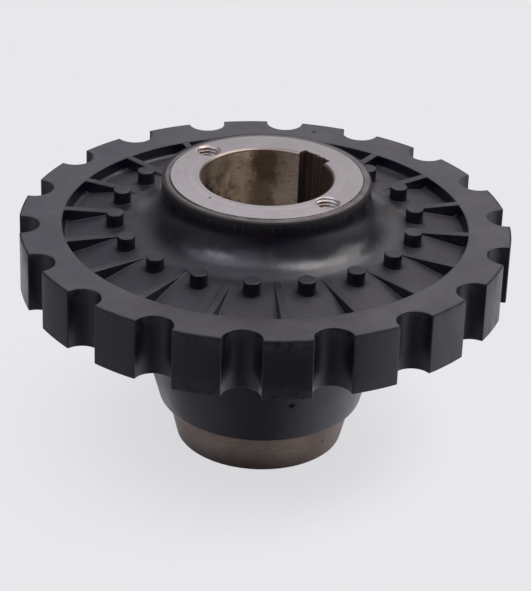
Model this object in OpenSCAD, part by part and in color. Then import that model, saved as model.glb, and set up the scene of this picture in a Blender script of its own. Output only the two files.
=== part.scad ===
// Disc coupling element: a turned steel hub with a notched rubber disc bonded round it.
// The hub stands on its foot, the bore runs along Z and the keyway faces +Y.

/* [Hub] */
// Height of the hub from its foot to its machined face
hub_len = 141.5; // [130:0.5:170]
// Diameter of the bore
bore_d = 63.5; // [40:0.5:65]
// Width of the chamfer at both ends of the bore
bore_chamfer = 1.2; // [0.5:0.1:1.6]
// Width of the keyway
keyway_w = 15.9; // [8:0.1:20]
// Depth of the keyway past the bore wall, on its centre line
keyway_depth = 3.5; // [2:0.1:6]
// Diameter of the machined face
face_d = 93.2; // [90:0.1:96]
// Diameter of the collar round the machined face
collar_d = 101.6; // [98.5:0.1:110]
// Height of bare collar above the rubber
collar_h = 3.2; // [2:0.1:6]
// Width of the fine groove between the face and the collar
groove_w = 0.7; // [0.3:0.1:1]
// Depth of the fine groove below the machined face
groove_depth = 0.9; // [0.6:0.1:1.5]
// How far the collar's top lies below the machined face
collar_drop = 0.5; // [0.2:0.1:0.5]
// Width of the bevel on the collar's edge
collar_bevel = 0.6; // [0.2:0.1:0.8]
// Diameter of the foot at its bottom face
foot_d = 84; // [78:0.1:88]
// Width of the chamfer round the foot's bottom edge
foot_chamfer = 0.8; // [0.3:0.1:2]
// Height of the shoulder where the foot ends and the barrel begins
shoulder_h = 23.5; // [20:0.5:30]
// Width of the shoulder, from the top of the foot to the barrel
shoulder_w = 2.5; // [2.4:0.1:4]
// Radius of the shoulder's corner
shoulder_round = 2.2; // [1:0.1:2.4]

/* [Tapped holes] */
// Diameter of the circle through the two tapped holes
tap_circle_d = 80; // [79.5:0.1:80.5]
// Outside diameter of the thread in the tapped holes
tap_d = 12; // [8:0.5:12]
// Depth of the full diameter of the tapped holes
tap_depth = 25; // [15:0.5:40]
// Width of the chamfer at the mouth of the tapped holes
tap_chamfer = 0.2; // [0.1:0.05:0.25]

/* [Rim] */
// Outside diameter of the rim
rim_d = 240; // [225:1:280]
// Inside diameter of the rim
rim_inner_d = 198; // [180:1:200]
// Height of the rim
rim_h = 30.4; // [24:0.1:40]
// Height of the rim's top above the foot
rim_top = 117.2; // [105:0.1:118]
// Number of notches, which is also that of the pegs and ribs
notch_count = 18; // [12:2:20]
// Diameter of the round notches
notch_d = 18.4; // [10:0.1:20]
// How far the centres of the notches lie inside the rim's edge
notch_inset = 0.8; // [0:0.1:3]
// How far the moulding is turned against the keyway, in degrees
element_turn = -1; // [-10:0.1:10]
// Width of the bevel on the rim's edges
rim_bevel = 0.5; // [0.2:0.1:1.5]

/* [Web] */
// Height of the flare between the neck and the web
flare_h = 18; // [10:0.5:18]
// Diameter of the circle through the pegs
peg_circle_d = 146.8; // [140:0.2:150]
// Diameter of the pegs
peg_d = 8.6; // [5:0.1:10]
// Height of the pegs above the rim's top
peg_h = 5.8; // [3:0.1:10]
// Width of the bevel on the top edge of the pegs
peg_bevel = 0.5; // [0.2:0.1:1]
// Width of the level land that the pegs stand on
land_w = 8.4; // [5:0.1:9]
// How far the land's inner edge lies below the rim's top
land_depth = 0.4; // [0.2:0.1:1]
// How far the land falls from its inner edge to its outer one
land_drop = 1; // [0.5:0.1:2]
// Depth of the pockets at the rim, below the rim's top
pocket_depth = 6.4; // [3:0.1:8]
// Radius between the pockets' floor and the rim
pocket_round = 2.6; // [1:0.1:2.8]
// Width of the ribs between the pockets
rib_w = 3.8; // [2:0.1:6]
// Depth of the recess under the web, above the rim's bottom
under_recess = 6; // [3:0.5:9]

/* [Skirt] */
// Thickness of the skirt round the barrel, at its bottom corner
skirt_t = 1.2; // [1:0.1:3]
// Radius of the skirt's bottom corner
skirt_round = 1.2; // [0.4:0.1:1.6]
// How far the skirt leans outward on its way up, in degrees
skirt_lean = 15.5; // [8:0.5:18]
// Radius of the curve between the skirt and the web
under_round = 18; // [8:0.5:24]
// Thickness of the rubber under the shoulder
skirt_under = 1.3; // [0.8:0.1:3]
// Height of the lip that covers the foot below the skirt
lip_h = 2.6; // [1:0.1:8]
// Thickness of the lip
lip_t = 0.5; // [0.4:0.1:1.2]
// Thickness of the rubber skin on the neck
neck_skin = 0.8; // [0.5:0.1:2]

/* [Hidden] */
$fn = 180;

steel = "#aaa59d";
rubber = "#2c2c30";

// Steps along each curve of the two profiles
curve_steps = 10;
// How far a cut runs past the face that it opens
past = 1;

bore_r = bore_d / 2;
face_r = face_d / 2;
collar_r = collar_d / 2;
barrel_r = collar_r - neck_skin;
foot_r = foot_d / 2;
foot_top_r = barrel_r - shoulder_w;
neck_top = hub_len - collar_h;
collar_top = hub_len - collar_drop;

rim_r = rim_d / 2;
rim_inner_r = rim_inner_d / 2;
rim_bottom = rim_top - rim_h;
land_top = rim_top - land_depth;
flare_top = min(land_top + flare_h, neck_top);
pitch = 360 / notch_count;
peg_circle_r = peg_circle_d / 2;
land_in_r = peg_circle_r - land_w / 2;
land_out_r = peg_circle_r + land_w / 2;
pocket_floor = rim_top - pocket_depth;
web_bottom = rim_bottom + under_recess;

skirt_low = shoulder_h - skirt_under;
lip_low = skirt_low - lip_h;
skirt_corner_r = barrel_r + skirt_t - skirt_round;
skirt_corner_z = skirt_low + skirt_round;
under_z = web_bottom - under_round;
under_r = skirt_corner_r + (skirt_round + under_round) / cos(skirt_lean)
    + (under_z - skirt_corner_z) * tan(skirt_lean);

// Radius of the foot at a height
function foot_at(z) = foot_r + (foot_top_r - foot_r) * (z - foot_chamfer) / (shoulder_h - foot_chamfer);

// Part of an ellipse from angle a0 to a1, round (cr, cz)
function curve(cr, cz, half_w, half_h, a0, a1) = [
    for (i = [0:curve_steps])
        let (a = a0 + (a1 - a0) * i / curve_steps)
            [cr + half_w * cos(a), cz + half_h * sin(a)]
];

// Half section of the hub, without its bore
module hub_outline() {
    polygon(concat(
        [
            [0, 0],
            [foot_r - foot_chamfer, 0],
            [foot_r, foot_chamfer],
            [foot_top_r, shoulder_h]
        ],
        curve(barrel_r - shoulder_round, shoulder_h + shoulder_round,
            shoulder_round, shoulder_round, -90, 0),
        [
            [barrel_r, neck_top],
            [collar_r, neck_top],
            [collar_r, collar_top - collar_bevel],
            [collar_r - collar_bevel, collar_top],
            [face_r + groove_w, collar_top],
            [face_r + groove_w / 2, hub_len - groove_depth],
            [face_r, hub_len - groove_depth / 2],
            [face_r, hub_len],
            [0, hub_len]
        ]
    ));
}

// Half section of the moulding, drawn as if it filled the hub too
module element_outline() {
    polygon(concat(
        [
            [0, lip_low],
            [foot_at(lip_low) + lip_t, lip_low],
            [foot_at(skirt_low) + lip_t, skirt_low]
        ],
        curve(skirt_corner_r, skirt_corner_z, skirt_round, skirt_round, -90, -skirt_lean),
        curve(under_r, under_z, under_round, under_round, 180 - skirt_lean, 90),
        curve(rim_inner_r - pocket_round, web_bottom - pocket_round, pocket_round, pocket_round, 90, 0),
        [
            [rim_inner_r, rim_bottom + rim_bevel],
            [rim_inner_r + rim_bevel, rim_bottom],
            [rim_r - rim_bevel, rim_bottom],
            [rim_r, rim_bottom + rim_bevel],
            [rim_r, rim_top],
            [rim_inner_r + rim_bevel, rim_top],
            [rim_inner_r, rim_top - rim_bevel]
        ],
        curve(rim_inner_r - pocket_round, pocket_floor + pocket_round, pocket_round, pocket_round, 0, -90),
        [
            [land_out_r, land_top - land_drop],
            [land_in_r, land_top]
        ],
        curve(land_in_r, flare_top, land_in_r - collar_r, flare_top - land_top, -90, -180),
        [
            [collar_r, neck_top],
            [0, neck_top]
        ]
    ));
}

// Copies round the rim, each turned on by whole and half pitches
module round_the_rim(half = 0) {
    for (i = [0:notch_count - 1])
        rotate([0, 0, 90 + element_turn + (i + half) * pitch])
            children();
}

module tapped_hole() {
    drill_tip = tap_d / 2 * tan(31);
    translate([0, 0, hub_len - tap_depth])
        cylinder(d = tap_d, h = tap_depth + past);
    translate([0, 0, hub_len - tap_depth - drill_tip])
        cylinder(d1 = 0, d2 = tap_d, h = drill_tip);
    translate([0, 0, hub_len - tap_chamfer])
        cylinder(d1 = tap_d, d2 = tap_d + 2 * (tap_chamfer + past), h = tap_chamfer + past);
}

module hub() {
    color(steel)
        difference() {
            rotate_extrude()
                hub_outline();
            translate([0, 0, -past])
                cylinder(r = bore_r, h = hub_len + 2 * past);
            translate([0, 0, -past])
                cylinder(r1 = bore_r + bore_chamfer + past, r2 = bore_r, h = bore_chamfer + past);
            translate([0, 0, hub_len - bore_chamfer])
                cylinder(r1 = bore_r, r2 = bore_r + bore_chamfer + past, h = bore_chamfer + past);
            translate([-keyway_w / 2, 0, -past])
                cube([keyway_w, bore_r + keyway_depth, hub_len + 2 * past]);
            for (side = [-1, 1])
                translate([side * tap_circle_d / 2, 0, 0])
                    tapped_hole();
        }
}

// A rib between two pockets, its top level with the rim
module rib() {
    rib_start = land_in_r - land_w;
    translate([rib_start, -rib_w / 2, web_bottom + past])
        cube([rim_inner_r + rim_bevel + past - rib_start, rib_w, rim_top - web_bottom - past]);
}

// A round peg on the land, with a bevelled top edge
module peg() {
    translate([peg_circle_r, 0, web_bottom + past]) {
        cylinder(d = peg_d, h = rim_top + peg_h - peg_bevel - web_bottom - past);
        translate([0, 0, rim_top + peg_h - peg_bevel - web_bottom - past])
            cylinder(d1 = peg_d, d2 = peg_d - 2 * peg_bevel, h = peg_bevel);
    }
}

// A round notch, cut through the whole height of the rim
module notch() {
    translate([rim_r - notch_inset, 0, rim_bottom - past])
        cylinder(d = notch_d, h = rim_h + 2 * past);
}

module rubber_element() {
    color(rubber)
        difference() {
            union() {
                rotate_extrude()
                    difference() {
                        element_outline();
                        hub_outline();
                    }
                round_the_rim(0.5) rib();
                round_the_rim() peg();
            }
            round_the_rim() notch();
        }
}

hub();
rubber_element();
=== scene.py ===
import math

import bpy
import numpy as np
from mathutils import Matrix, Vector


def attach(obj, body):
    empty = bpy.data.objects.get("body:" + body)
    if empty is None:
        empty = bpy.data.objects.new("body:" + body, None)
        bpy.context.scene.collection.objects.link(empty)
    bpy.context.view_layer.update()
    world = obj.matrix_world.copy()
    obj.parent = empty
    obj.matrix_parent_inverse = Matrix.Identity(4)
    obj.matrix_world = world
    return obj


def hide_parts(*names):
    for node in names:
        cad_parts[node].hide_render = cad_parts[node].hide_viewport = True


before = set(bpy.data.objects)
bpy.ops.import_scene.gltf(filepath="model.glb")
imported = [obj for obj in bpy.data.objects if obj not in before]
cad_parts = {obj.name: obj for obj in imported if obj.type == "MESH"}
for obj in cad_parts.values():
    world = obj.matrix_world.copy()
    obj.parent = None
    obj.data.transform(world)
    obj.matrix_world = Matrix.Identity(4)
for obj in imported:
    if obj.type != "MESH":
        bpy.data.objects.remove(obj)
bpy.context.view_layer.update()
print("frame loaded:", sorted(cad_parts))

mm = 0.001  # sizes are given in millimetres; meshes and shaders work in metres

# Where the photograph was taken from: angles in degrees, lengths in millimetres
viewpoint = {
    "azimuth": 43.0,
    "elevation": 28.192,
    "roll": 1.959,
    "aimHeight": 116.8,       # of the point on the bore's axis that it looks at, before it slides
    "distance": 1142.0,       # from that point
    "pictureWidth": 531,
    "focalPixels": 2336.98,
    "rightOfMiddle": -1.27,   # where that point lies in the picture
    "aboveMiddle": 36.08,
}


# Unit vector to one side: turn counts from the camera's side to its right, and both are in degrees
def towardsSide(turn, rise):
    turn, rise = math.radians(viewpoint["azimuth"] + turn), math.radians(rise)
    return Vector((math.sin(turn) * math.cos(rise), -math.cos(turn) * math.cos(rise), math.sin(rise)))


# Part of an ellipse in the (radius, height) plane: centre plus half sizes times the angle's cosine and sine
def arc(centreR, centreZ, halfWidth, halfHeight, start, end, steps):
    angle = np.radians(np.linspace(start, end, steps + 1))
    return np.stack([centreR + halfWidth * np.cos(angle), centreZ + halfHeight * np.sin(angle)], 1)


# Evenly spaced points from start to end, without the start itself
def line(start, end, steps):
    share = np.linspace(0, 1, steps + 1)[1:, None]
    return np.asarray(start) * (1 - share) + np.asarray(end) * share


# Points in plan lifted to one height, or to one height each
def atHeight(spots, height):
    return np.concatenate([spots, np.broadcast_to(height, spots.shape[:-1])[..., None]], -1)


# Distance from the Z axis
def planRadius(points):
    return np.hypot(points[..., 0], points[..., 1])


# Copies of points turned about Z: x cos - y sin, x sin + y cos. One array with the copies first
def spin(points, turns):
    cos, sin = np.cos(turns)[:, None], np.sin(turns)[:, None]
    flat = points.reshape(-1, 3)
    made = np.stack([flat[:, 0] * cos - flat[:, 1] * sin, flat[:, 0] * sin + flat[:, 1] * cos,
                     np.broadcast_to(flat[:, 2], (len(turns), len(flat)))], -1)
    return made.reshape((len(turns),) + points.shape)


# A square grid laid on a unit disc: each square ring of the grid becomes a circle, its points evenly round it.
# Gives the points and the grid's border as columns and rows, once round and anticlockwise
def squareOnDisc(cells):
    a, b = np.meshgrid(np.linspace(-1, 1, cells + 1), np.linspace(-1, 1, cells + 1), indexing="ij")
    wide = np.abs(a) >= np.abs(b)
    ringSize = np.where(wide, a, b)
    slant = np.divide(np.where(wide, b, a), ringSize, out=np.zeros_like(a), where=np.abs(ringSize) > 1e-9)
    turn = np.where(wide, slant, 2 - slant) * math.pi / 4
    points = np.stack([ringSize * np.cos(turn), ringSize * np.sin(turn)], -1)
    up, full, none = np.arange(cells), np.full(cells, cells), np.zeros(cells, int)
    return points, (np.concatenate([full, full - up, none, up]), np.concatenate([up, full, full - up, none]))


# Running numbers for an array of points
def numbersOf(points, first=0):
    return first + np.arange(points[..., 0].size).reshape(points.shape[:-1])


# Quads between rows of point numbers, where each row closes on itself
def ringFaces(rings):
    after = np.roll(rings, -1, axis=1)
    return np.stack([rings[:-1], after[:-1], after[1:], rings[1:]], -1).reshape(-1, 4)


# Quads of an open grid of point numbers
def gridFaces(numbers):
    return np.stack([numbers[:-1, :-1], numbers[1:, :-1], numbers[1:, 1:], numbers[:-1, 1:]], -1).reshape(-1, 4)


# Quads of a grid whose rows and columns both close, turned to face outward, in rows and columns
def closedFaces(numbers):
    return ringFaces(np.concatenate([numbers, numbers[:1]]))[:, ::-1].reshape(*numbers.shape, 4)


def addObject(name, data):
    made = bpy.data.objects.new(name, data)
    bpy.context.scene.collection.objects.link(made)
    return made


# Puts arrays into a mesh: drops unused points, scales to metres, and stores the marks as point attributes
def makePiece(name, points, faces, faceMaterial, materials, marks):
    used, numbers = np.unique(faces, return_inverse=True)
    mesh = bpy.data.meshes.new(name)
    mesh.from_pydata((points[used] * mm).tolist(), [], numbers.reshape(faces.shape).tolist())
    for material in materials:
        mesh.materials.append(material)
    mesh.polygons.foreach_set("material_index", faceMaterial.astype(np.int32))
    for mark, values in marks.items():
        layer = mesh.attributes.new(mark, "FLOAT", "POINT")
        layer.data.foreach_set("value", values[used].astype(np.float32))
    mesh.polygons.foreach_set("use_smooth", np.ones(len(faces), bool))
    mesh.update()
    mesh.validate()
    piece = addObject(name, mesh)
    piece.modifiers.new("facesStayFlat", "WEIGHTED_NORMAL").weight = 80
    return piece


# Sizes of the turned hub
hub = {
    "length": 141.5,
    "boreRadius": 31.75,
    "boreChamfer": 1.2,
    "keyHalfWidth": 7.95,
    "keyBottom": 35.25,
    "keyChamfer": 0.15,
    "keyBurr": 0.9,           # how far the broken edge of the keyway reaches into the face
    "keyBreak": 2.0,          # degrees that its corner on the +X side is broken away at the face
    "burrSeed": 5,
    "faceRadius": 46.6,
    "faceEdge": 0.06,         # width of the fine bevel on it
    "grooveWidth": 0.7,
    "grooveDepth": 0.9,
    "collarRadius": 50.8,
    "collarTop": 141.0,
    "collarBevel": 0.6,
    "collarEdge": 0.05,       # width of the bevel on its inner edge
    "neckTop": 138.3,
    "barrelRadius": 50.0,
    "shoulderHeight": 23.5,
    "shoulderRound": 2.2,
    "footTopRadius": 47.5,
    "footRadius": 42.0,
    "footChamfer": 0.8,
    "holeCircle": 40.0,
    "holeRadius": 6.0,
    "holeMouth": 0.2,
    "holeDepth": 25.0,
    "drillSlope": 31,         # degrees of the drill's tip
    "threadPitch": 1.75,
    "threadDepth": 0.92,
    "threadRows": 8,          # grid rows in one turn of the thread
    "holeCells": 12,          # grid cells across the square that a hole is cut in
    "squareReach": (6.5, 6.42),  # of that square, inward and outward
    "squareStep": 1.6,        # degrees between its columns
}
# How fast the foot's radius grows on the way up
footSlope = (hub["footTopRadius"] - hub["footRadius"]) / (hub["shoulderHeight"] - hub["footChamfer"])


# A repeatable uneven line round a circle, between 0 and 1: sines of whole orders with seeded phases
def roughEdge(turn, seed, coarse, fine):
    rng = np.random.default_rng(seed)
    orders = np.arange(coarse, fine, 5)
    phases = rng.uniform(0, 2 * math.pi, len(orders))
    waves = np.sin(np.outer(turn, orders) + phases).sum(1) / math.sqrt(len(orders))
    return np.clip(0.5 + 0.5 * waves, 0, 1)


# Angles of the hub's columns: even across each hole, close on the keyway's walls and floor, even in the gaps. The
# counts give columns of about 1.7 degrees, and finer ones in the keyway
def hubTurns(s):
    def gap(start, end, count):
        return np.linspace(start, end, count)[1:-1]

    key, keyBottom, bore = s["keyHalfWidth"], s["keyBottom"], s["boreRadius"]
    hole = np.arange(-(s["holeCells"] // 2), s["holeCells"] // 2 + 1) * math.radians(s["squareStep"])
    wall = np.arctan2(key, np.linspace(math.sqrt(bore**2 - key**2), keyBottom, 7))
    middle = math.pi / 2 + np.concatenate([-wall, gap(-wall[-1], wall[-1], 61), wall[::-1]])
    second = math.pi + hole
    turns = np.concatenate([
        hole, gap(hole[-1], middle[0], 38), middle, gap(middle[-1], second[0], 38),
        second, gap(second[-1], 2 * math.pi + hole[0], 100)])
    return turns, (0, int(np.searchsorted(turns, second[0])))


# The hub is one closed grid: rows follow the section from the bore's edge over the face and down the outside, then
# up the bore. The inner rows follow the keyway's outline. Each tapped hole is cut in a square of the grid
def buildHub(s, materials):
    cells = s["holeCells"]
    key, bore = s["keyHalfWidth"], s["boreRadius"]
    turns, holeColumns = hubTurns(s)
    fromKey = turns - math.pi / 2
    inKey = np.abs(fromKey) < math.asin(key / bore) - 1e-6
    with np.errstate(divide="ignore"):
        wallRadius = key / np.abs(np.sin(fromKey))
    keyRadius = np.minimum(s["keyBottom"] / np.cos(fromKey), wallRadius)
    innerRadius = np.where(inKey, np.maximum(keyRadius, bore), bore)
    chamfer = np.where(inKey, s["keyChamfer"], s["boreChamfer"])
    burr = np.where(inKey, s["keyBurr"] * roughEdge(turns, s["burrSeed"], 9, 160) ** 2, 0)
    broken = np.radians(np.interp(np.degrees(fromKey), [-27, -13, -8], [0, -s["keyBreak"], 0]))

    # Each row is a radius for every column, a height, and the material of the faces after it
    face, collarKind, boreKind, keyKind, foot, holeKind = range(6)
    length, faceRadius = s["length"], s["faceRadius"]
    edgeRadius = innerRadius + chamfer + burr
    rows = [(edgeRadius, length, face)]
    breakage = [1]            # share of the broken corner that each row takes
    plainEdge = bore + s["boreChamfer"]
    inward, outward = s["squareReach"]
    for radius in np.linspace(s["holeCircle"] - inward, s["holeCircle"] + outward, cells + 1):
        share = (radius - plainEdge) / (faceRadius - plainEdge)
        rows.append((edgeRadius + (faceRadius - edgeRadius) * share, length, face))
        breakage.append(1 - share)

    # Edge of the face, groove, collar with its bevel, and the neck
    groove, top, collar, bevel = s["grooveWidth"], s["collarTop"], s["collarRadius"], s["collarBevel"]
    neck, barrel, footHeight = s["neckTop"], s["barrelRadius"], s["shoulderHeight"]
    rounding, faceEdge, collarEdge = s["shoulderRound"], s["faceEdge"], s["collarEdge"]
    onCollar = [
        (faceRadius, length - faceEdge), (faceRadius, length - s["grooveDepth"] / 2),
        (faceRadius + groove / 2, length - s["grooveDepth"]),
        (faceRadius + groove, top - collarEdge), (faceRadius + groove + collarEdge, top),
        (collar - bevel, top), (collar - bevel / 3, top - bevel / 4),
        (collar, top - bevel), (collar, (top + neck) / 2), (collar, neck + 0.1)]
    # Hidden barrel, shoulder, tapered foot and its bottom face
    onFoot = [
        (collar - 0.1, neck), (barrel, neck), (barrel, 100), (barrel, 60),
        *arc(barrel - rounding, footHeight + rounding, rounding, rounding, 0, -90, 5),
        (s["footTopRadius"], footHeight),
        *line([s["footTopRadius"], footHeight], [s["footRadius"], s["footChamfer"]], 6),
        (s["footRadius"] - 0.15, s["footChamfer"] / 3), (s["footRadius"] - s["footChamfer"], 0),
        (s["footRadius"] - 4, 0)]
    outside = [(faceRadius - faceEdge, length, face)]
    outside += [(*spot, collarKind) for spot in onCollar] + [(*spot, foot) for spot in onFoot]
    rows += [(np.full(len(turns), radius), height, kind) for radius, height, kind in outside]

    # Up the bore; the last two rows lead from it to the broken edge
    rows += [(innerRadius + chamfer + 0.8, 0, foot), (innerRadius + chamfer, 0, boreKind)]
    wallHeights = np.linspace(s["boreChamfer"], length - s["boreChamfer"], 12)[:-1]
    rows += [(innerRadius, height, boreKind) for height in wallHeights]
    rows += [(innerRadius + burr * 0.15, length - s["boreChamfer"], face),
             (innerRadius + (edgeRadius - innerRadius) * 0.5, length - s["boreChamfer"] / 2, face)]
    breakage += [0] * (len(rows) - len(breakage) - 2) + [0.15, 0.5]
    radii, heights, kinds = (np.array(part) for part in zip(*rows))
    rowTurns = turns + np.array(breakage)[:, None] * broken
    grid = atHeight(np.stack([radii * np.cos(rowTurns), radii * np.sin(rowTurns)], -1), heights[:, None])
    numbers = numbersOf(grid)
    faces = closedFaces(numbers)
    faceKind = np.repeat(kinds[:, None], len(turns), 1)
    faceKind[np.flatnonzero(kinds == boreKind)[0]:, np.flatnonzero(inKey & np.roll(inKey, -1))] = keyKind
    keep = np.ones(faces.shape[:2], bool)
    disc, border = squareOnDisc(cells)
    points, allFaces, allKinds = [grid.reshape(-1, 3)], [], []
    count = numbers.size

    # Thread: the wall's radius goes in and out once a turn of pitch, and a whole turn of angle shifts it by one pitch.
    # At the mouth a 45 degree countersink takes the crests away
    rise = s["threadPitch"] / s["threadRows"]
    depths = np.arange(1, int(s["holeDepth"] / rise)) * rise
    circle = disc[border]
    phase = (depths[:, None] / s["threadPitch"] + np.arctan2(circle[:, 1], circle[:, 0]) / (2 * math.pi)) % 1
    tooth = np.clip(1.25 - np.abs(phase - 0.5) * 3.4, 0, 1)
    countersink = s["holeRadius"] + s["holeMouth"] - depths[:, None]
    threadRadius = np.maximum(s["holeRadius"] - 0.02 - s["threadDepth"] * tooth, countersink)
    drill = s["holeRadius"] - s["threadDepth"]
    tipHeight = length - s["holeDepth"] - drill * math.tan(math.radians(s["drillSlope"])) * (1 - planRadius(disc))
    for sign, column in zip((1, -1), holeColumns):  # the square's axes are radius and angle, so the disc is turned too
        keep[1:1 + cells, column:column + cells] = False
        centre = np.array([sign * s["holeCircle"], 0.0])
        around = circle * sign
        inGrid = (1 + border[0], column + border[1])
        mouth = centre + around * (s["holeRadius"] + s["holeMouth"])
        halfway = (grid[inGrid][:, :2] + mouth) / 2
        rings = [atHeight(halfway, length), atHeight(mouth, length),
                 atHeight(centre + around * s["holeRadius"], length - s["holeMouth"])]
        rings += [atHeight(centre + around * radius[:, None], length - depth)
                  for radius, depth in zip(threadRadius, depths)]
        rings, tip = np.array(rings), atHeight(centre + disc * sign * drill, tipHeight)
        ringNumbers = numbersOf(rings, count)
        tipNumbers = numbersOf(tip, count + ringNumbers.size)
        wall = ringFaces(np.concatenate([numbers[inGrid][None], ringNumbers, tipNumbers[border][None]]))
        wallKind = np.full(len(wall), holeKind)
        wallKind[:2 * len(circle)] = face
        end = gridFaces(tipNumbers)
        allFaces += [wall, end]
        allKinds += [wallKind, np.full(len(end), holeKind)]
        points += [rings.reshape(-1, 3), tip.reshape(-1, 3)]
        count += ringNumbers.size + tipNumbers.size
    allFaces = np.concatenate([faces[keep]] + allFaces)
    allKinds = np.concatenate([faceKind[keep]] + allKinds)
    return makePiece("turnedHub", np.concatenate(points), allFaces, allKinds, materials, {})


# Sizes of the rubber moulding. Its section is worked out for half a pitch, from the middle of a rib to that of a peg
moulding = {
    "copies": 18,             # notches, pegs and ribs
    "turn": -1.0,             # degrees between a notch and the keyway
    "neckRadius": 50.8,
    "neckTop": 138.3,
    "flareTop": 134.8,
    "landIn": 69.2,           # the level land that the pegs stand on
    "landOut": 77.6,
    "landDepth": 0.4,         # of its inner edge below the rim's top
    "landDrop": 1.0,
    "floorDepth": 6.4,        # of the pockets at the rim
    "floorRound": 2.6,
    "wallDraft": 0.15,
    "ribWidth": 3.8,
    "rimInner": 99.0,
    "rimRadius": 119.96,
    "rimTop": 117.2,
    "rimHeight": 30.4,
    "edgeRound": 0.45,
    "edgeMiddle": 0.13,       # inset of a rounded edge's middle
    "notchRadius": 9.2,
    "notchInset": 0.8,
    "cornerRound": 0.55,
    "cornerShare": 0.41,      # how sharp the notch's corner is, from 0 for a flat cut to 1
    "pegCircle": 73.4,
    "pegRadius": 4.3,
    "pegHeight": 5.8,
    "pegRound": 0.5,
    "pegEdgeMiddle": 0.14,
    "pegFoot": 0.2,
    "pegDish": 0.14,
    "grimeRise": 3.0,         # above the land, where the painted shade on a peg's wall has faded
    "webBottom": 92.8,
    "underRound": 18.0,       # between the skirt and the web
    "skirtLean": 15.5,        # degrees outward
    "skirtRadius": 51.2,      # at its bottom corner
    "skirtBottom": 22.2,
    "skirtRound": 1.2,
    "lipBottom": 19.6,
    "lipThickness": 0.5,
    "lipFront": 43.0,         # degrees, the side of the lip that the photograph shows
    "lipWaves": (0.8, 0.7, 0.15, 11),  # its tilt, its rise in front, and the height and number of its ripples
    "seatGap": 0.04,          # between the moulding's hidden seat and the hub
    "columns": 16,            # grid columns in half a pitch
    "pegCells": 12,           # grid cells across the square that a peg grows from
    "pegReach": 6.3,          # of that square, inward and outward
}


# Plan of the rim from the middle of a rib to the middle of a notch: an arc of the rim, a rounded corner, and half
# of the notch's circle. Gives the points and the outward normals, in a frame whose X axis is the notch's middle
def outlineOfRim(s):
    rim, bite = s["rimRadius"], s["notchRadius"]
    centre = rim - s["notchInset"]
    corner = math.acos((rim**2 - centre**2 - bite**2) / (2 * centre * bite))  # round the notch's centre
    cornerPoint = np.array([centre + bite * math.cos(corner), -bite * math.sin(corner)])
    cornerTurn = math.atan2(cornerPoint[1], cornerPoint[0])
    rimSteps = s["columns"] // 3
    rimTurn = np.linspace(-math.pi / s["copies"], cornerTurn - s["cornerRound"] / rim, rimSteps + 1)
    rimNormal = np.stack([np.cos(rimTurn), np.sin(rimTurn)], 1)
    biteTurn = np.linspace(corner + s["cornerRound"] / bite, math.pi, s["columns"] - rimSteps - 1)
    towards = np.stack([-np.cos(biteTurn), np.sin(biteTurn)], 1)
    bitePoints = np.array([centre, 0]) - bite * towards
    flatCut = (rim * rimNormal[-1] + bitePoints[0]) / 2
    cornerNormal = rimNormal[-1] + towards[0]
    rounded = cornerPoint * s["cornerShare"] + flatCut * (1 - s["cornerShare"])
    points = np.concatenate([rim * rimNormal, [rounded], bitePoints])
    normals = np.concatenate([rimNormal, [cornerNormal / np.linalg.norm(cornerNormal)], towards])
    return points, normals


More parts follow.
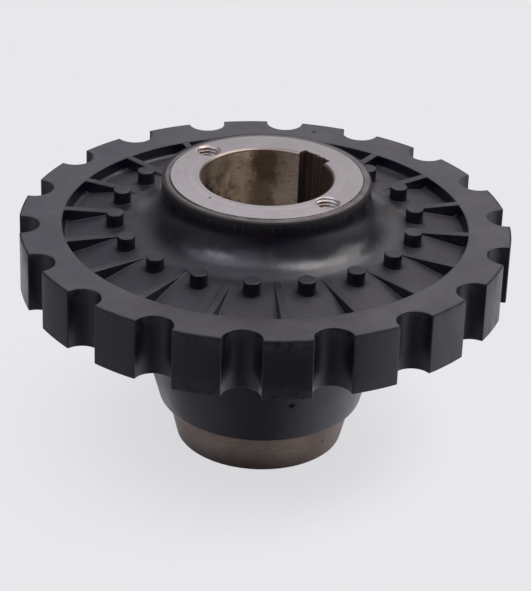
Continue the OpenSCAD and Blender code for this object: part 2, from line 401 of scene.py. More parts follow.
# Every row of the moulding's grid for half a pitch, as arrays of (x, y, z) from a rib's middle to a peg's: circles of
# one radius and height, except that the web's rows rise over the rib and the rim's rows follow its plan
def mouldingSections(s):
    n = s["columns"]
    half = math.pi / s["copies"]
    top, inner = s["rimTop"], s["rimInner"]
    bottom = top - s["rimHeight"]
    landIn, landOut, landTop = s["landIn"], s["landOut"], top - s["landDepth"]
    floor, rounding = top - s["floorDepth"], s["floorRound"]
    edge, middle = s["edgeRound"], s["edgeMiddle"]

    # The first columns keep their distance from the rib's middle: its top, its rounded edge, its wall and its foot
    wide = s["ribWidth"] / 2
    offsets = np.array([0, wide - 1.0, wide - edge, wide - middle, wide, wide + 0.12, wide + 0.4, wide + 1.1])

    def turnsAt(radius):
        near = np.arcsin(offsets / radius)
        return np.concatenate([near, np.linspace(near[-1], half, n - len(offsets) + 2)[1:]]) - half

    def circleRow(radius, height, turns):
        return atHeight(radius * np.stack([np.cos(turns), np.sin(turns)], 1), height)

    # The web's height at a radius: flare, land and sloping floor, with its corners rounded by a mean over 4 mm
    slopeEnd = inner - s["wallDraft"] - rounding

    def flareArc(steps):
        return arc(landIn, s["flareTop"], landIn - s["neckRadius"], s["flareTop"] - landTop, -180, -90, steps)

    profile = np.concatenate([flareArc(60), [[landOut, landTop - s["landDrop"]], [slopeEnd, floor]]])
    radii = np.linspace(landIn - 6, slopeEnd, 200)
    nearby = radii[:, None] + np.linspace(-2, 2, 13)
    profile = np.stack([radii, np.interp(nearby, profile[:, 0], profile[:, 1]).mean(1)], 1)

    # Top of the web, from the neck out to the rim's inner edge
    pegRows = np.linspace(s["pegCircle"] - s["pegReach"], s["pegCircle"] + s["pegReach"], s["pegCells"] + 1)
    slopeRows = pegRows[-1] + (slopeEnd - pegRows[-1]) * np.linspace(0, 1, 12)[1:] ** 1.3
    landRows = np.concatenate([pegRows, slopeRows])
    flare = flareArc(26)
    flare = flare[flare[:, 0] < pegRows[0] - 0.3]
    web = np.concatenate([
        [[s["neckRadius"], s["neckTop"]]],
        flare,
        np.stack([landRows, np.interp(landRows, profile[:, 0], profile[:, 1])], 1),
        arc(slopeEnd, floor + rounding, rounding, rounding, -90, 0, 5)[1:],
        [[inner, top - edge], [inner + middle, top - middle], [inner + edge, top]]])
    rows = []
    for radius, height in web:
        rise = max(top - height, 0)
        lift = np.zeros(n + 1)
        lift[:7] = [rise, rise, rise, rise - min(middle, 0.1 * rise), rise - min(edge, 0.3 * rise),
                    min(0.3, 0.15 * rise), min(0.05, 0.02 * rise)]
        rows.append(circleRow(radius, height + lift, turnsAt(radius)))
    pegStart = 1 + len(flare)

    # Rim: straight lines from its inner edge to its outline, then down the outside and back under it
    outline, normals = outlineOfRim(s)
    even = np.linspace(-half, 0, n + 1)

    def outlineRow(inset, height):
        return atHeight(outline - normals * inset, height)

    def between(first, second, shares):
        return [first * (1 - share) + second * share for share in shares]

    rows += between(rows[-1], outlineRow(edge, top), (0.3, 0.62, 0.86))
    rimStart = len(rows)
    rows += [outlineRow(edge, top), outlineRow(middle, top - middle), outlineRow(0, top - edge)]
    rows += between(outlineRow(0, top - edge), outlineRow(0, bottom + edge), (0.33, 0.67, 1))
    rows += [outlineRow(middle, bottom + middle), outlineRow(edge, bottom)]
    rimEnd = len(rows)
    rows += between(rows[-1], circleRow(inner + edge, bottom, even), (0.35, 0.7))

    # Underside, skirt and lip, then the hidden seat on the hub
    gap = s["seatGap"]
    shoulder = hub["barrelRadius"] - hub["shoulderRound"]
    shoulderZ = hub["shoulderHeight"] + hub["shoulderRound"]
    leanTurn, lip, low = math.radians(s["skirtLean"]), s["lipThickness"], s["skirtBottom"]
    cornerR, cornerZ = s["skirtRadius"] - s["skirtRound"], low + s["skirtRound"]
    underZ = s["webBottom"] - s["underRound"]
    underR = cornerR + (s["skirtRound"] + s["underRound"]) / math.cos(leanTurn) + (
        (underZ - cornerZ) * math.tan(leanTurn))

    def footAt(height):
        return hub["footRadius"] + (height - hub["footChamfer"]) * footSlope

    underCurve = arc(underR, underZ, s["underRound"], s["underRound"], 90, 180 - s["skirtLean"], 14)
    skirtCorner = arc(cornerR, cornerZ, s["skirtRound"], s["skirtRound"], -s["skirtLean"], -90, 6)
    lipTop = np.array([footAt(low - 0.1) + lip, low - 0.1])
    lipEnd = np.array([footAt(s["lipBottom"]) + lip, s["lipBottom"] + 0.12])
    under = np.concatenate([
        [[inner + edge, bottom], [inner + middle, bottom + middle], [inner, bottom + edge]],
        arc(slopeEnd, s["webBottom"] - rounding, rounding, rounding, 0, 90, 5),
        line([slopeEnd, s["webBottom"]], [underR, s["webBottom"]], 3),
        underCurve[1:],
        line(underCurve[-1], skirtCorner[0], 8),
        skirtCorner[1:],
        [[lipTop[0] + 0.12, low]],
        [lipTop],
        line(lipTop, lipEnd, 2),
        [lipEnd - [0.12, 0.12], [footAt(s["lipBottom"]) + gap + 0.02, s["lipBottom"]]],
        [[hub["footTopRadius"] + gap, hub["shoulderHeight"] - gap]],
        arc(shoulder, shoulderZ, hub["shoulderRound"] + gap, hub["shoulderRound"] + gap, -90, 0, 4),
        line([hub["barrelRadius"] + gap, shoulderZ], [hub["barrelRadius"] + gap, s["neckTop"] - 0.02], 5),
        [[s["neckRadius"] - 0.2, s["neckTop"] - 0.02]]])
    lipRow = len(rows) + int(np.flatnonzero(under[:, 1] == lipEnd[1])[0])
    rows += [circleRow(radius, height, even) for radius, height in under[:-2]]
    rows += [circleRow(radius, height, turnsAt(radius)) for radius, height in under[-2:]]
    return np.array(rows), profile, pegStart, (rimStart, rimEnd), lipRow


# One peg in its own sector: rings that pass from the square of the grid to the peg's foot, then up its wall and over
# its rounded edge, and a dished cap. Each ring has two marks: on a rounded edge, and on the foot, where shade is
# painted
def pegRings(s, profile, squareRing, disc, circle):
    centre = np.array([s["pegCircle"], 0.0])
    base = s["rimTop"] - s["landDepth"] - s["landDrop"] / 2
    top, rounding, middle = s["rimTop"] + s["pegHeight"], s["pegRound"], s["pegEdgeMiddle"]
    rings, marks = [], []

    def addRing(spot, height, edge, foot):
        rings.append(atHeight(spot, height))
        marks.append((edge, foot))

    def webHeight(spot):
        return np.interp(planRadius(spot), profile[:, 0], profile[:, 1])

    for share in (0.2, 0.4, 0.6, 0.8, 1.0):
        spot = squareRing * (1 - share) + (centre + circle * (s["pegRadius"] + s["pegFoot"])) * share
        addRing(spot, webHeight(spot), 0, share**1.5)
    for out, rise in ((0.06, 0.06), (0, s["pegFoot"])):
        spot = centre + circle * (s["pegRadius"] + out)
        addRing(spot, webHeight(spot) + rise, 0, 1)
    for inset, height, edge in (
            (0, base + s["grimeRise"], 0), (0, top - rounding, 1), (middle, top - middle, 1), (rounding, top, 1)):
        addRing(centre + circle * (s["pegRadius"] - inset), height, edge, 0)
    capHeight = top - s["pegDish"] * (1 - planRadius(disc) ** 2)
    return np.array(rings), marks, atHeight(centre + disc * (s["pegRadius"] - rounding), capHeight)


# The moulding is one closed grid: its rows follow the section from the neck over the web and the rim, back under to
# the skirt, and up the seat on the hub. Its columns go round it. Each peg grows out of a square of the grid
def buildMoulding(s, material):
    n, cells = s["columns"], s["pegCells"]
    halfRows, profile, pegStart, (rimStart, rimEnd), lipRow = mouldingSections(s)
    sector = np.concatenate([halfRows, halfRows[:, -2:0:-1] * np.array([1, -1, 1])], 1)  # and its mirror image
    rowCount, across = sector.shape[:2]
    turns = np.radians(90 + s["turn"] + np.arange(s["copies"]) * 360 / s["copies"])
    grid = spin(sector, turns).transpose(1, 0, 2, 3).reshape(rowCount, -1, 3)

    # The lip's end is uneven, as flash is: it rises towards the front of the picture and hangs lower on its left
    fromFront = np.arctan2(grid[lipRow, :, 1], grid[lipRow, :, 0]) - math.radians(s["lipFront"] - 90)
    tilt, front, ripple, ripples = s["lipWaves"]
    lift = tilt * (np.sin(fromFront) - 1) + front * (1 + np.cos(fromFront)) ** 2 + ripple * np.sin(ripples * fromFront)
    end = grid[lipRow:lipRow + 3]
    end[..., :2] *= (1 + lift * footSlope / planRadius(end))[..., None]
    end[..., 2] += lift
    numbers = numbersOf(grid)
    faces = closedFaces(numbers)
    keep = np.ones(faces.shape[:2], bool)
    first = n - cells // 2

    # Two marks a point. Edge: 1 on the rounded edges of rim, ribs and pegs. Foot: 1 where a peg meets the web, where
    # shade is painted
    edgeMark = np.zeros((rowCount, across))
    edgeMark[rimStart:rimStart + 3] = 1
    edgeMark[rimEnd - 3:rimEnd] = 1
    edgeMark[rimStart:rimEnd, [n // 3 + 1, 2 * n - n // 3 - 1]] = 1
    edgeMark[pegStart + cells:rimStart - 3, [3, 4, -3, -4]] = 1
    gridMarks = np.tile(edgeMark, (1, s["copies"])).ravel()

    disc, border = squareOnDisc(cells)
    square = sector[pegStart:pegStart + cells + 1, first:first + cells + 1]
    rings, marks, cap = pegRings(s, profile, square[border][:, :2], disc, disc[border])
    points, allFaces, allMarks = [grid.reshape(-1, 3)], [], [np.stack([gridMarks, 0 * gridMarks], 1)]
    count = numbers.size
    for copy, (ringPoints, capPoints) in enumerate(zip(spin(rings, turns), spin(cap, turns))):
        corner = copy * across + first
        keep[pegStart:pegStart + cells, corner:corner + cells] = False
        gridRing = numbers[pegStart + border[0], corner + border[1]]
        ringNumbers = numbersOf(rings, count)
        capNumbers = numbersOf(cap, count + ringNumbers.size)
        capNumbers[border] = ringNumbers[-1]
        allFaces += [ringFaces(np.concatenate([gridRing[None], ringNumbers])), gridFaces(capNumbers)]
        points += [ringPoints.reshape(-1, 3), capPoints.reshape(-1, 3)]
        allMarks += [np.repeat(marks, len(gridRing), 0), np.zeros((capNumbers.size, 2))]
        count += ringNumbers.size + capNumbers.size
    allFaces, allMarks = np.concatenate([faces[keep]] + allFaces), np.concatenate(allMarks)
    return makePiece("mouldedDisc", np.concatenate(points), allFaces, np.zeros(len(allFaces)), [material],
                     {"edge": allMarks[:, 0], "pegFoot": allMarks[:, 1]})


# Feeds a node's inputs: a socket is linked, and anything else is set. A colour gets its alpha here
def feed(node, inputs):
    for name, value in inputs.items():
        socket = node.inputs[name]
        if isinstance(value, bpy.types.NodeSocket):
            node.id_data.links.new(value, socket)
        else:
            socket.default_value = (*value, 1) if socket.type == "RGBA" else value


def addNode(tree, kind, inputs=(), **settings):
    node = tree.nodes.new("ShaderNode" + kind)
    for name, value in settings.items():
        setattr(node, name, value)
    feed(node, dict(inputs))
    return node


# The helpers below put their node into the tree of the sockets that they are given
def calculate(operation, *values, clamp=False):
    tree = next(value.id_data for value in values if isinstance(value, bpy.types.NodeSocket))
    return addNode(tree, "Math", enumerate(values), operation=operation, use_clamp=clamp).outputs[0]


def plus(first, *others):
    for other in others:
        first = calculate("ADD", first, other)
    return first


def times(first, *others):
    for other in others:
        first = calculate("MULTIPLY", first, other)
    return first


# A value times a factor, plus a base
def scaled(value, factor, base):
    return calculate("MULTIPLY_ADD", value, factor, base)


# 0 below low, 1 above high and smooth between; low may be the larger one
def ramp(value, low, high):
    inputs = {"Value": value, "From Min": low, "From Max": high}
    return addNode(value.id_data, "MapRange", inputs, interpolation_type="SMOOTHSTEP").outputs["Result"]


# The same for a length, with low and high in millimetres
def rampMm(value, low, high):
    return ramp(value, low * mm, high * mm)


# A colour over another where the mask is 1. Sockets 6 and 7 are the Mix node's colours, and output 2 is its colour
def paint(under, mask, over, strength=1):
    share = mask if strength == 1 else times(mask, strength)
    return addNode(mask.id_data, "Mix", {0: share, 6: under, 7: over}, data_type="RGBA").outputs[2]


def noise(place, scale, detail, roughness=0.5):
    return addNode(place.id_data, "TexNoise", {
        "Vector": place, "Scale": scale, "Detail": detail, "Roughness": roughness}).outputs["Fac"]


def vectors(operation, output, *values):
    return addNode(values[0].id_data, "VectorMath", enumerate(values), operation=operation).outputs[output]


def stretched(place, factors):
    return vectors("MULTIPLY", "Vector", place, factors)


def radiusOf(place):
    return vectors("LENGTH", "Value", stretched(place, (1, 1, 0)))


def heightOf(place):
    return addNode(place.id_data, "SeparateXYZ", {0: place}).outputs["Z"]


# How far a face looks up: 1 level, 0 upright
def facingUp(place):
    return heightOf(addNode(place.id_data, "NewGeometry").outputs["Normal"])


# Distance from the axis towards one side. Turn 0 is the picture's right and 90 is away from the camera
def alongSide(place, turn):
    return vectors("DOT_PRODUCT", "Value", place, towardsSide(turn + 90, 0))


# A node group from named inputs to one output, which the build function makes of them
def newGroup(name, inputs, output, build):
    tree = bpy.data.node_groups.new(name, "ShaderNodeTree")
    for socket in inputs:
        kind = "NodeSocketVector" if socket in ("Vector", "Spot") else "NodeSocketFloat"
        tree.interface.new_socket(socket, in_out="INPUT", socket_type=kind)
    tree.interface.new_socket(output, in_out="OUTPUT", socket_type="NodeSocketFloat")
    given, end = tree.nodes.new("NodeGroupInput").outputs, tree.nodes.new("NodeGroupOutput")
    feed(end, {output: build(*(given[socket] for socket in inputs))})
    return tree


def useGroup(group, **inputs):
    node = inputs["Vector"].id_data.nodes.new("ShaderNodeGroup")
    node.node_tree = group
    feed(node, inputs)
    return node.outputs[0]


# Clouds: noise that is 0 below Low and 1 above High
def mottleMask(place, scale, low, high):
    return ramp(noise(place, scale, 5, 0.62), low, high)


# Round spots of the given size, on the given share of the cells
def speckMask(place, scale, size, share):
    cells = addNode(place.id_data, "TexVoronoi", {"Vector": place, "Scale": scale}).outputs
    pick = addNode(place.id_data, "SeparateColor", {"Color": cells["Color"]}).outputs[0]
    return times(ramp(cells["Distance"], size, times(size, 0.5)), calculate("LESS_THAN", pick, share))


# Fine rings round the Z axis, as a lathe tool leaves them: noise along the distance from the axis
def ringHeight(place, scale):
    inputs = {"W": times(radiusOf(place), scale), "Scale": 1, "Detail": 2}
    return addNode(place.id_data, "TexNoise", inputs, noise_dimensions="1D").outputs["Fac"]


# The marked edges, broken up by noise
def wornMask(place, edge):
    return times(edge, ramp(noise(place, 260, 4), 0.38, 0.62))


# Where dust lies: on faces that look up, unevenly
def dustMask(place):
    uneven = scaled(ramp(noise(place, 55, 6, 0.7), 0.3, 0.72), 0.7, 0.3)
    return times(ramp(facingUp(place), 0.75, 0.98), uneven)


# A single small mark of the given size at the given spot, with an uneven edge
def spotMask(place, spot, size):
    away = times(vectors("DISTANCE", "Value", place, spot), plus(noise(place, 900, 2), 0.5))
    return ramp(away, size, times(size, 0.4))


mottle = newGroup("mottle", ["Vector", "Scale", "Low", "High"], "Mask", mottleMask)
specks = newGroup("specks", ["Vector", "Scale", "Size", "Share"], "Mask", speckMask)
turnedRings = newGroup("turnedRings", ["Vector", "Scale"], "Height", ringHeight)
edgeWear = newGroup("edgeWear", ["Vector", "Edge"], "Mask", wornMask)
dustOnTop = newGroup("dustOnTop", ["Vector"], "Mask", dustMask)
oneMark = newGroup("oneMark", ["Vector", "Spot", "Size"], "Mask", spotMask)


def clouds(place, scale, low, high, stretch=None):
    place = stretched(place, stretch) if stretch else place
    return useGroup(mottle, Vector=place, Scale=scale, Low=low, High=high)


def spotted(place, scale, size, share):
    return useGroup(specks, Vector=place, Scale=scale, Size=size, Share=share)


def latheRings(place, scale):
    return useGroup(turnedRings, Vector=place, Scale=scale)


# The mask of small marks that the photograph shows, each a spot and a size in millimetres
def markMask(place, marks):
    covered = 0.0
    for spot, size in marks:
        mask = useGroup(oneMark, Vector=place, Spot=[part * mm for part in spot], Size=size * mm)
        covered = calculate("MAXIMUM", mask, covered)
    return covered


def attribute(place, name):
    return addNode(place.id_data, "Attribute", attribute_name=name).outputs["Fac"]


def bump(height, distance):
    return addNode(height.id_data, "Bump", {"Height": height, "Distance": distance * mm}).outputs["Normal"]


# A material whose shader has the given plain values. Also gives the shader and the object coordinates
def newMaterial(name, **values):
    material = bpy.data.materials.new(name)
    material.use_nodes = True
    shader = material.node_tree.nodes["Principled BSDF"]
    feed(shader, values)
    return material, shader, addNode(material.node_tree, "TexCoord").outputs["Object"]


# Paints a look's base colour over, layer by layer: each mask goes with the colour and strength of its name
def layered(look, **masks):
    colour = look["base"]
    for name, mask in masks.items():
        over, strength = look[name]
        colour = paint(colour, mask, over, strength)
    return colour


rubberLook = {
    "base": (0.0034, 0.0028, 0.0075),
    # dust on the upper faces; where it thickens towards the back it is painted light
    "dust": ((0.0207, 0.018, 0.0225), 1),
    "smudge": ((0.018, 0.016, 0.0185), 0.6),
    # the duller flare at the back: rougher, and its paler colour is a painted highlight
    "dullFlare": ((0.022, 0.0193, 0.0185), 0.7),
    "rust": ((0.0105, 0.0068, 0.006), 0.7),
    "wornEdge": ((0.05, 0.048, 0.05), 0.25),
    # dark line round the rim's top outer edge: painted shade
    "outerEdge": ((0.001, 0.001, 0.0012), 1),
    "grit": ((0.07, 0.068, 0.07), 0.5),
    "pit": ((0.002, 0.002, 0.002), 1),
    # painted shade round the pegs' feet
    "grime": ((0.0008, 0.0007, 0.001), 0.9),
    "pits": [((-56, 95.2, 117.2), 2), ((49.2, -29.5, 45.5), 2.2)],
    "roughness": 0.33,
    "grain": 0.12,            # share of the fine grain in the bumps, beside the low waves
    "bumps": 0.16,
}


# Charcoal rubber: dust on the upper faces, mostly on the rim, smudges, pale worn edges and a fine grain, with some
# painted light and shade, marked below
def rubberMaterial(look):
    material, shader, place = newMaterial("mouldedRubber")
    radius, height, facing = radiusOf(place), heightOf(place), facingUp(place)

    # Dust lies on the rim, less on the web, more of it towards the back and little on the front pegs' tops: the rise
    # towards the back is painted light and the bare front tops are painted shade
    dustier = rampMm(alongSide(place, 50), 0, 75)
    onRim = calculate("MAXIMUM", scaled(rampMm(radius, 80, 99), 0.7, 0.3), times(dustier, 0.7))
    wiped = times(rampMm(height, 119, 122.5), calculate("SUBTRACT", 0.5, dustier, clamp=True))
    dust = times(useGroup(dustOnTop, Vector=place), onRim, calculate("SUBTRACT", 1.0, wiped))

    # Smudges on the upper faces inside the rim, a duller flare at the back whose paler colour is a painted highlight,
    # and rust just under the collar
    smudge = times(clouds(place, 75, 0.5, 0.74, (1.3, 1.3, 0.4)),
                   scaled(rampMm(radius, 100, 70), 0.7, 0.06), ramp(facing, 0.05, 0.5))
    behind = calculate("MAXIMUM", rampMm(alongSide(place, 60), 0, 45), rampMm(alongSide(place, 165), 35, 55))
    dull = times(behind, rampMm(radius, 69.5, 66), rampMm(height, 138, 128))
    rust = times(clouds(place, 60, 0.35, 0.65, (1, 1, 0.5)), rampMm(height, 128.5, 137.5))

    # Pale worn edges, most on the rim; a dark line round its top outer edge and darkening round the pegs' feet, both
    # painted shade
    worn = times(useGroup(edgeWear, Vector=place, Edge=attribute(place, "edge")),
                 scaled(rampMm(radius, 98.5, 99), 0.6, 0.4))
    outerEdge = times(rampMm(radius, 118.8, 119.4), rampMm(height, 116.3, 116.9))
    grime = times(attribute(place, "pegFoot"), clouds(place, 70, 0.25, 0.6))
    pits = markMask(place, look["pits"])    # a pit mirrors next to nothing, as a black metal does

    # Gloss: the web's upper faces are matt and its walls sleek, and the flare is glossy
    onWeb = times(rampMm(radius, 64, 76), rampMm(radius, 100, 99))
    matt, sleek = times(onWeb, ramp(facing, 0.6, 0.95)), times(onWeb, ramp(facing, 0.5, 0.2))
    glossy = times(rampMm(radius, 67, 62), rampMm(height, 100, 110))
    rough = scaled(clouds(place, 38, 0.3, 0.7), 0.1, look["roughness"])
    for mask, amount in ((matt, 0.22), (sleek, -0.2), (glossy, -0.13), (dull, 0.24), (smudge, 0.15),
                         (grime, 0.3), (outerEdge, 0.3), (worn, 0.15)):
        rough = plus(rough, times(mask, amount))
    both = plus(times(noise(place, 1100, 3), look["grain"]), noise(place, 90, 2))
    colour = layered(look, dust=dust, smudge=smudge, dullFlare=dull, rust=rust, wornEdge=worn, outerEdge=outerEdge,
                     grit=spotted(place, 420, 0.16, 0.03), pit=pits, grime=grime)
    feed(shader, {"Base Color": colour, "Metallic": pits, "Roughness": rough, "Normal": bump(both, look["bumps"])})
    return material


faceLook = {
    "base": (0.325, 0.301, 0.297),
    "pale": ((0.44, 0.411, 0.407), 0.8),
    # darker towards the back: painted shade
    "away": ((0.26, 0.244, 0.235), 0.55),
    "stain": ((0.27, 0.245, 0.23), 0.35),
    "speck": ((0.09, 0.07, 0.06), 1),
    "chamfer": ((0.17, 0.12, 0.09), 0.7),
    "nick": ((0.07, 0.055, 0.05), 1),
    "nicks": [((-1.8, -37.3, 141.5), 1.1)],
}


# Machined face: bright turned steel with fine rings, faint stains, a few dark specks and a browner chamfer; darker
# towards the back, which is painted shade
def faceMaterial(look):
    material, shader, place = newMaterial("machinedFace", Metallic=1.0)
    wide, stain = latheRings(place, 420), clouds(place, 60, 0.42, 0.75)
    colour = layered(
        # the away mask darkens the face towards the back as painted shade
        look, pale=wide, away=rampMm(alongSide(place, 65), -45, 40), stain=stain,
        speck=spotted(place, 130, 0.07, 0.12),
        chamfer=rampMm(radiusOf(place), hub["boreRadius"] + 1.4, hub["boreRadius"] + 1.1),
        nick=markMask(place, look["nicks"]))
    height = plus(latheRings(place, 2600), wide)
    feed(shader, {"Base Color": colour, "Roughness": scaled(stain, 0.12, 0.36), "Normal": bump(height, 0.012)})
    return material


collarLook = {
    "base": (0.1, 0.088, 0.084),
    "pale": ((0.175, 0.158, 0.154), 1),
    "scratch": ((0.36, 0.34, 0.33), 0.5),
    "film": ((0.006, 0.0045, 0.004), 1),
    "filmReach": 2.15,        # up the collar's side
}


# Bare collar: dull scratched steel, with a ragged film of rubber that has crept up its side and over its edge
def collarMaterial(look):
    material, shader, place = newMaterial("bareCollar")
    stain = clouds(place, 150, 0.35, 0.7, (1, 1, 3))
    ragged = noise(place, 120, 6, 0.75)
    reach = scaled(ramp(ragged, 0.35, 0.7), 0.5 * mm, (hub["neckTop"] + look["filmReach"]) * mm)
    onSide = rampMm(calculate("SUBTRACT", heightOf(place), reach), 0.15, -0.15)
    crept = scaled(rampMm(alongSide(place, 0), 30, -45), 0.9 * mm, 0.4 * mm)    # further on the picture's left
    crept = plus(crept, radiusOf(place), times(ragged, 1 * mm))
    film = calculate("MAXIMUM", onSide, rampMm(crept, 50.6, 50.9))
    feed(shader, {
        "Base Color": layered(look, pale=stain, scratch=clouds(place, 420, 0.66, 0.74, (0.35, 2.4, 6)), film=film),
        "Metallic": times(calculate("SUBTRACT", 1.0, film), 0.9),
        "Roughness": plus(scaled(stain, 0.15, 0.4), times(film, 0.35)),
        "Normal": bump(plus(latheRings(place, 1500), film), 0.03)})
    return material


boreLook = {
    "base": (0.34, 0.265, 0.19),
    "pale": ((0.5, 0.4, 0.29), 1),
    "brightLeft": ((0.88, 0.665, 0.475), 0.85),
    "brightRight": ((0.66, 0.565, 0.435), 0.8),
    "band": ((0.118, 0.09, 0.056), 0.48),
    "streak": ((0.15, 0.11, 0.075), 0.35),
    "dirt": ((0.1, 0.065, 0.04), 0.6),
    "spot": ((0.06, 0.045, 0.03), 0.7),
    # painted shade by the keyway and deeper down on the left
    "stain": ((0.035, 0.022, 0.015), 0.92),
}


# Oxidised bore: brown steel with streaks round it; painted light in lighter zones at its left and right, and painted
# shade in a dark olive band between them, deeper down on the left and by the keyway
def boreMaterial(look):
    material, shader, place = newMaterial("oxidisedBore", Metallic=0.6)
    streak = clouds(place, 70, 0.3, 0.7, (1, 1, 5))
    patch = clouds(place, 60, 0.35, 0.65, (1, 1, 0.6))
    blotch = clouds(place, 130, 0.3, 0.7, (1, 1, 0.8))
    spots = spotted(stretched(place, (1, 1, 1.8)), 330, 0.32, 0.32)
    height = heightOf(place)
    side = plus(alongSide(place, 0), scaled(plus(patch, blotch), 6 * mm, -6 * mm))

    # A band along the bore: it comes in between the first two distances and goes out between the last two
    def zone(rise, fall):
        return times(rampMm(side, *rise), rampMm(side, *fall))

    upper = times(zone((-13.5, -2), (15.5, 8)), 1.25, rampMm(height, 117, 129))
    deeper = scaled(rampMm(height, 135, 128), 0.49, 0.576)
    colour = layered(
        look, pale=patch, brightLeft=zone((-29, -17), (-5, -14.5)), brightRight=zone((3, 10.5), (30, 20)),
        band=plus(upper, zone((-13.5, -2), (9.5, 2))), streak=streak, dirt=times(blotch, rampMm(height, 122, 140)),
        # painted shade by the keyway and deeper down on the left
        spot=spots, stain=plus(rampMm(side, 20, 26), times(rampMm(side, -16, -28), deeper)))
    feed(shader, {
        "Base Color": colour, "Roughness": scaled(streak, 0.2, 0.36), "Normal": bump(plus(streak, spots), 0.03)})
    return material


# The two plain finishes: their colours, the clouds that mix them, bump height and the shader's values
plainLooks = {
    "tappedHole": {           # the face's steel, duller and stained brown in streaks that run down the wall
        "base": (0.5, 0.465, 0.45), "marks": ((0.3, 0.23, 0.19), 1),
        "clouds": (260, 0.4, 0.65, (1, 1, 0.3)), "bumps": 0.02,
        "values": {"Metallic": 0.85, "Roughness": 0.48}},
    "broachedKeyway": {       # nearly black steel, with marks along its length
        "base": (0.024, 0.016, 0.013), "marks": ((0.088, 0.064, 0.052), 1),
        "clouds": (90, 0.3, 0.75, (9, 9, 0.25)), "bumps": 0.06,
        "values": {"Metallic": 0.4, "Roughness": 0.55}},
}


def plainMaterial(name):
    look = plainLooks[name]
    material, shader, place = newMaterial(name, **look["values"])
    marks = clouds(place, *look["clouds"])
    feed(shader, {"Base Color": layered(look, marks=marks), "Normal": bump(marks, look["bumps"])})
    return material


footLook = {
    "base": (0.225, 0.172, 0.136),
    "pale": ((0.3, 0.242, 0.194), 1),
    "mottle": ((0.11, 0.095, 0.09), 0.3),
    "speck": ((0.03, 0.024, 0.02), 1),
    "low": ((0.035, 0.028, 0.022), 1),
    "right": ((0.085, 0.056, 0.033), 0.8),
    "nick": ((0.02, 0.015, 0.012), 1),
    "nicks": [((44.5, -0.6, 11.3), 1.6)],
}


# Foot: dull brown-grey steel, mottled, with darker specks, darker at the bottom and on the picture's right
def footMaterial(look):
    material, shader, place = newMaterial("bareFoot", Metallic=0.75)
    cloud = clouds(place, 42, 0.32, 0.68)
    fine = clouds(place, 260, 0.35, 0.7, (1, 1, 2.5))
    spots = spotted(place, 170, 0.11, 0.12)
    colour = layered(
        look, pale=cloud, mottle=fine, speck=spots, low=rampMm(heightOf(place), 17, -4),
        right=rampMm(alongSide(place, 0), 5, 38), nick=markMask(place, look["nicks"]))
    feed(shader, {
        "Base Color": colour, "Roughness": scaled(cloud, -0.1, 0.56), "Normal": bump(plus(fine, spots), 0.025)})
    return material


disc = buildMoulding(moulding, rubberMaterial(rubberLook))
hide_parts("rubber_element")
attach(disc, "root")
print("moulding:", len(disc.data.polygons), "faces")

core = buildHub(hub, [
    faceMaterial(faceLook), collarMaterial(collarLook), boreMaterial(boreLook), plainMaterial("broachedKeyway"),
    footMaterial(footLook), plainMaterial("tappedHole")])
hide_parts("hub")
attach(core, "root")
print("hub:", len(core.data.polygons), "faces")


# The camera looks at its point on the axis from the given side, then slides so that it lies off centre
def makeCamera(v):
    roll = math.radians(v["roll"])
    back, level = towardsSide(0, v["elevation"]), towardsSide(90, 0)
    upright = back.cross(level)
    right = level * math.cos(roll) + upright * math.sin(roll)
    up = upright * math.cos(roll) - level * math.sin(roll)
    data = bpy.data.cameras.new("camera")
    data.sensor_fit = "HORIZONTAL"
    data.sensor_width = 36
    data.lens = v["focalPixels"] / v["pictureWidth"] * data.sensor_width
    camera = addObject("camera", data)
    place = Vector((0, 0, v["aimHeight"])) + back * v["distance"]
    place -= level * v["rightOfMiddle"] + upright * v["aboveMiddle"]
    camera.matrix_world = Matrix.Translation(place * mm) @ Matrix((right, up, back)).transposed().to_4x4()
    bpy.context.scene.camera = camera


# Softboxes: azimuth from the camera's side to its right, elevation, size in metres, watts and colour
cool, warm = (0.92, 0.91, 1.06), (1.03, 0.98, 0.97)
softboxes = {
    "left": (-50, 45, (0.45, 0.35), 2.0, cool),
    "farLeft": (-77, 50, (0.6, 0.5), 0.95, cool),
    "leftHigh": (-40, 62, (0.9, 0.35), 1.3, cool),
    "front": (-20, 38, (0.45, 0.6), 0.7, cool),
    "overhead": (40, 62, (0.45, 0.35), 1.5, warm),
    "rightHigh": (70, 62, (0.45, 0.35), 3.5, warm),
    "right": (100, 42, (0.6, 0.65), 3.7, warm),
    "behindRight": (118, 57, (0.8, 0.6), 4.0, warm),
    "behind": (165, 38, (0.8, 0.6), 0.5, warm),
}
lampDistance, lampAim = 1.3, Vector((0, 0, 0.09))  # metres


# A square lamp on a sphere round the object, facing it
def softbox(name, azimuth, elevation, size, watts, colour):
    towards = towardsSide(azimuth, elevation)
    data = bpy.data.lights.new(name, "AREA")
    data.shape = "RECTANGLE"
    data.size, data.size_y = size
    data.energy = watts
    data.color = colour
    lamp = addObject(name, data)
    lamp.location = lampAim + towards * lampDistance
    lamp.rotation_mode = "QUATERNION"
    lamp.rotation_quaternion = towards.to_track_quat("Z", "Y")


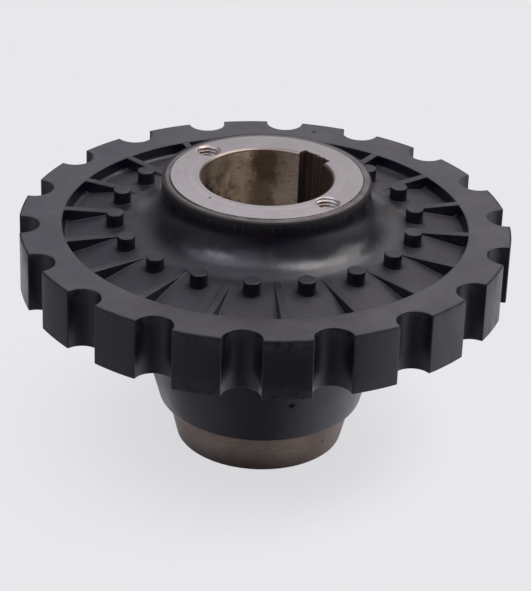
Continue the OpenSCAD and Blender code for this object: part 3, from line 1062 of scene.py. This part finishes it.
# The room: soft bright areas on its walls, ceiling and floor. Rays straight from the camera see one pale colour
studio = {
    "areas": [                # turn from the camera's side to its right, rise and level
        (45, -35, 0.13), (90, -35, 0.72), (135, -30, 0.1), (180, -35, 1.1), (225, -35, 0.1), (270, -35, 0.22),
        (315, -35, 0.26), (90, 0, 0.41), (270, 0, 0.06), (180, 15, 0.54), (45, 35, 0.39), (180, 50, 0.37),
        (270, 30, 0.1), (315, 35, 0.35), (0, 88, 0.9)],
    "areaFrom": 0.6,          # cosine of the angle to the area's middle where its light begins; it is full at 1
    "colour": (1.0, 0.98, 1.08),
    "seen": (0.81, 0.805, 0.83),
}


def makeWorld(s):
    world = bpy.data.worlds.new("studio")
    bpy.context.scene.world = world
    world.use_nodes = True
    tree = world.node_tree
    direction = addNode(tree, "TexCoord").outputs["Generated"]
    level = 0.0
    for turn, rise, strength in s["areas"]:
        along = vectors("DOT_PRODUCT", "Value", direction, towardsSide(turn, rise))
        level = plus(times(ramp(along, s["areaFrom"], 1.0), strength), level)
    room = tree.nodes["Background"]
    feed(room, {"Color": s["colour"], "Strength": level})
    seen = addNode(tree, "Background", {"Color": s["seen"]})
    direct = addNode(tree, "LightPath").outputs["Is Camera Ray"]
    mix = addNode(tree, "MixShader", {0: direct, 1: room.outputs[0], 2: seen.outputs[0]})
    feed(tree.nodes["World Output"], {"Surface": mix.outputs[0]})


floorLook = {
    "colour": (0.86, 0.855, 0.88),
    "solidTo": 55,            # radius from which it fades
    "endAt": 170,
    "opacity": 0.2,           # for the camera
    "mirrored": 0.12,         # opacity for everything else
}


# A pale round floor that fades out, so that the sides of the object don't mirror a bright floor
def makeFloor(look):
    mesh = bpy.data.meshes.new("floor")
    size = look["endAt"] * 1.05 * mm
    mesh.from_pydata([(-size, -size, 0), (size, -size, 0), (size, size, 0), (-size, size, 0)], [], [(0, 1, 2, 3)])
    floor = addObject("floor", mesh)
    material, shader, place = newMaterial("paleFloor", **{
        "Base Color": look["colour"], "Roughness": 0.9, "Specular IOR Level": 0})
    direct = addNode(place.id_data, "LightPath").outputs["Is Camera Ray"]
    share = addNode(place.id_data, "MapRange", {
        "Value": direct, "To Min": look["mirrored"], "To Max": look["opacity"]}).outputs["Result"]
    feed(shader, {"Alpha": times(rampMm(radiusOf(place), look["endAt"], look["solidTo"]), share)})
    mesh.materials.append(material)


makeCamera(viewpoint)
for name, settings in softboxes.items():
    softbox(name, *settings)
makeWorld(studio)
makeFloor(floorLook)
print("studio: camera,", len(softboxes), "softboxes,", len(studio["areas"]), "bright areas and floor")

bpy.context.scene.view_settings.view_transform = "Standard"
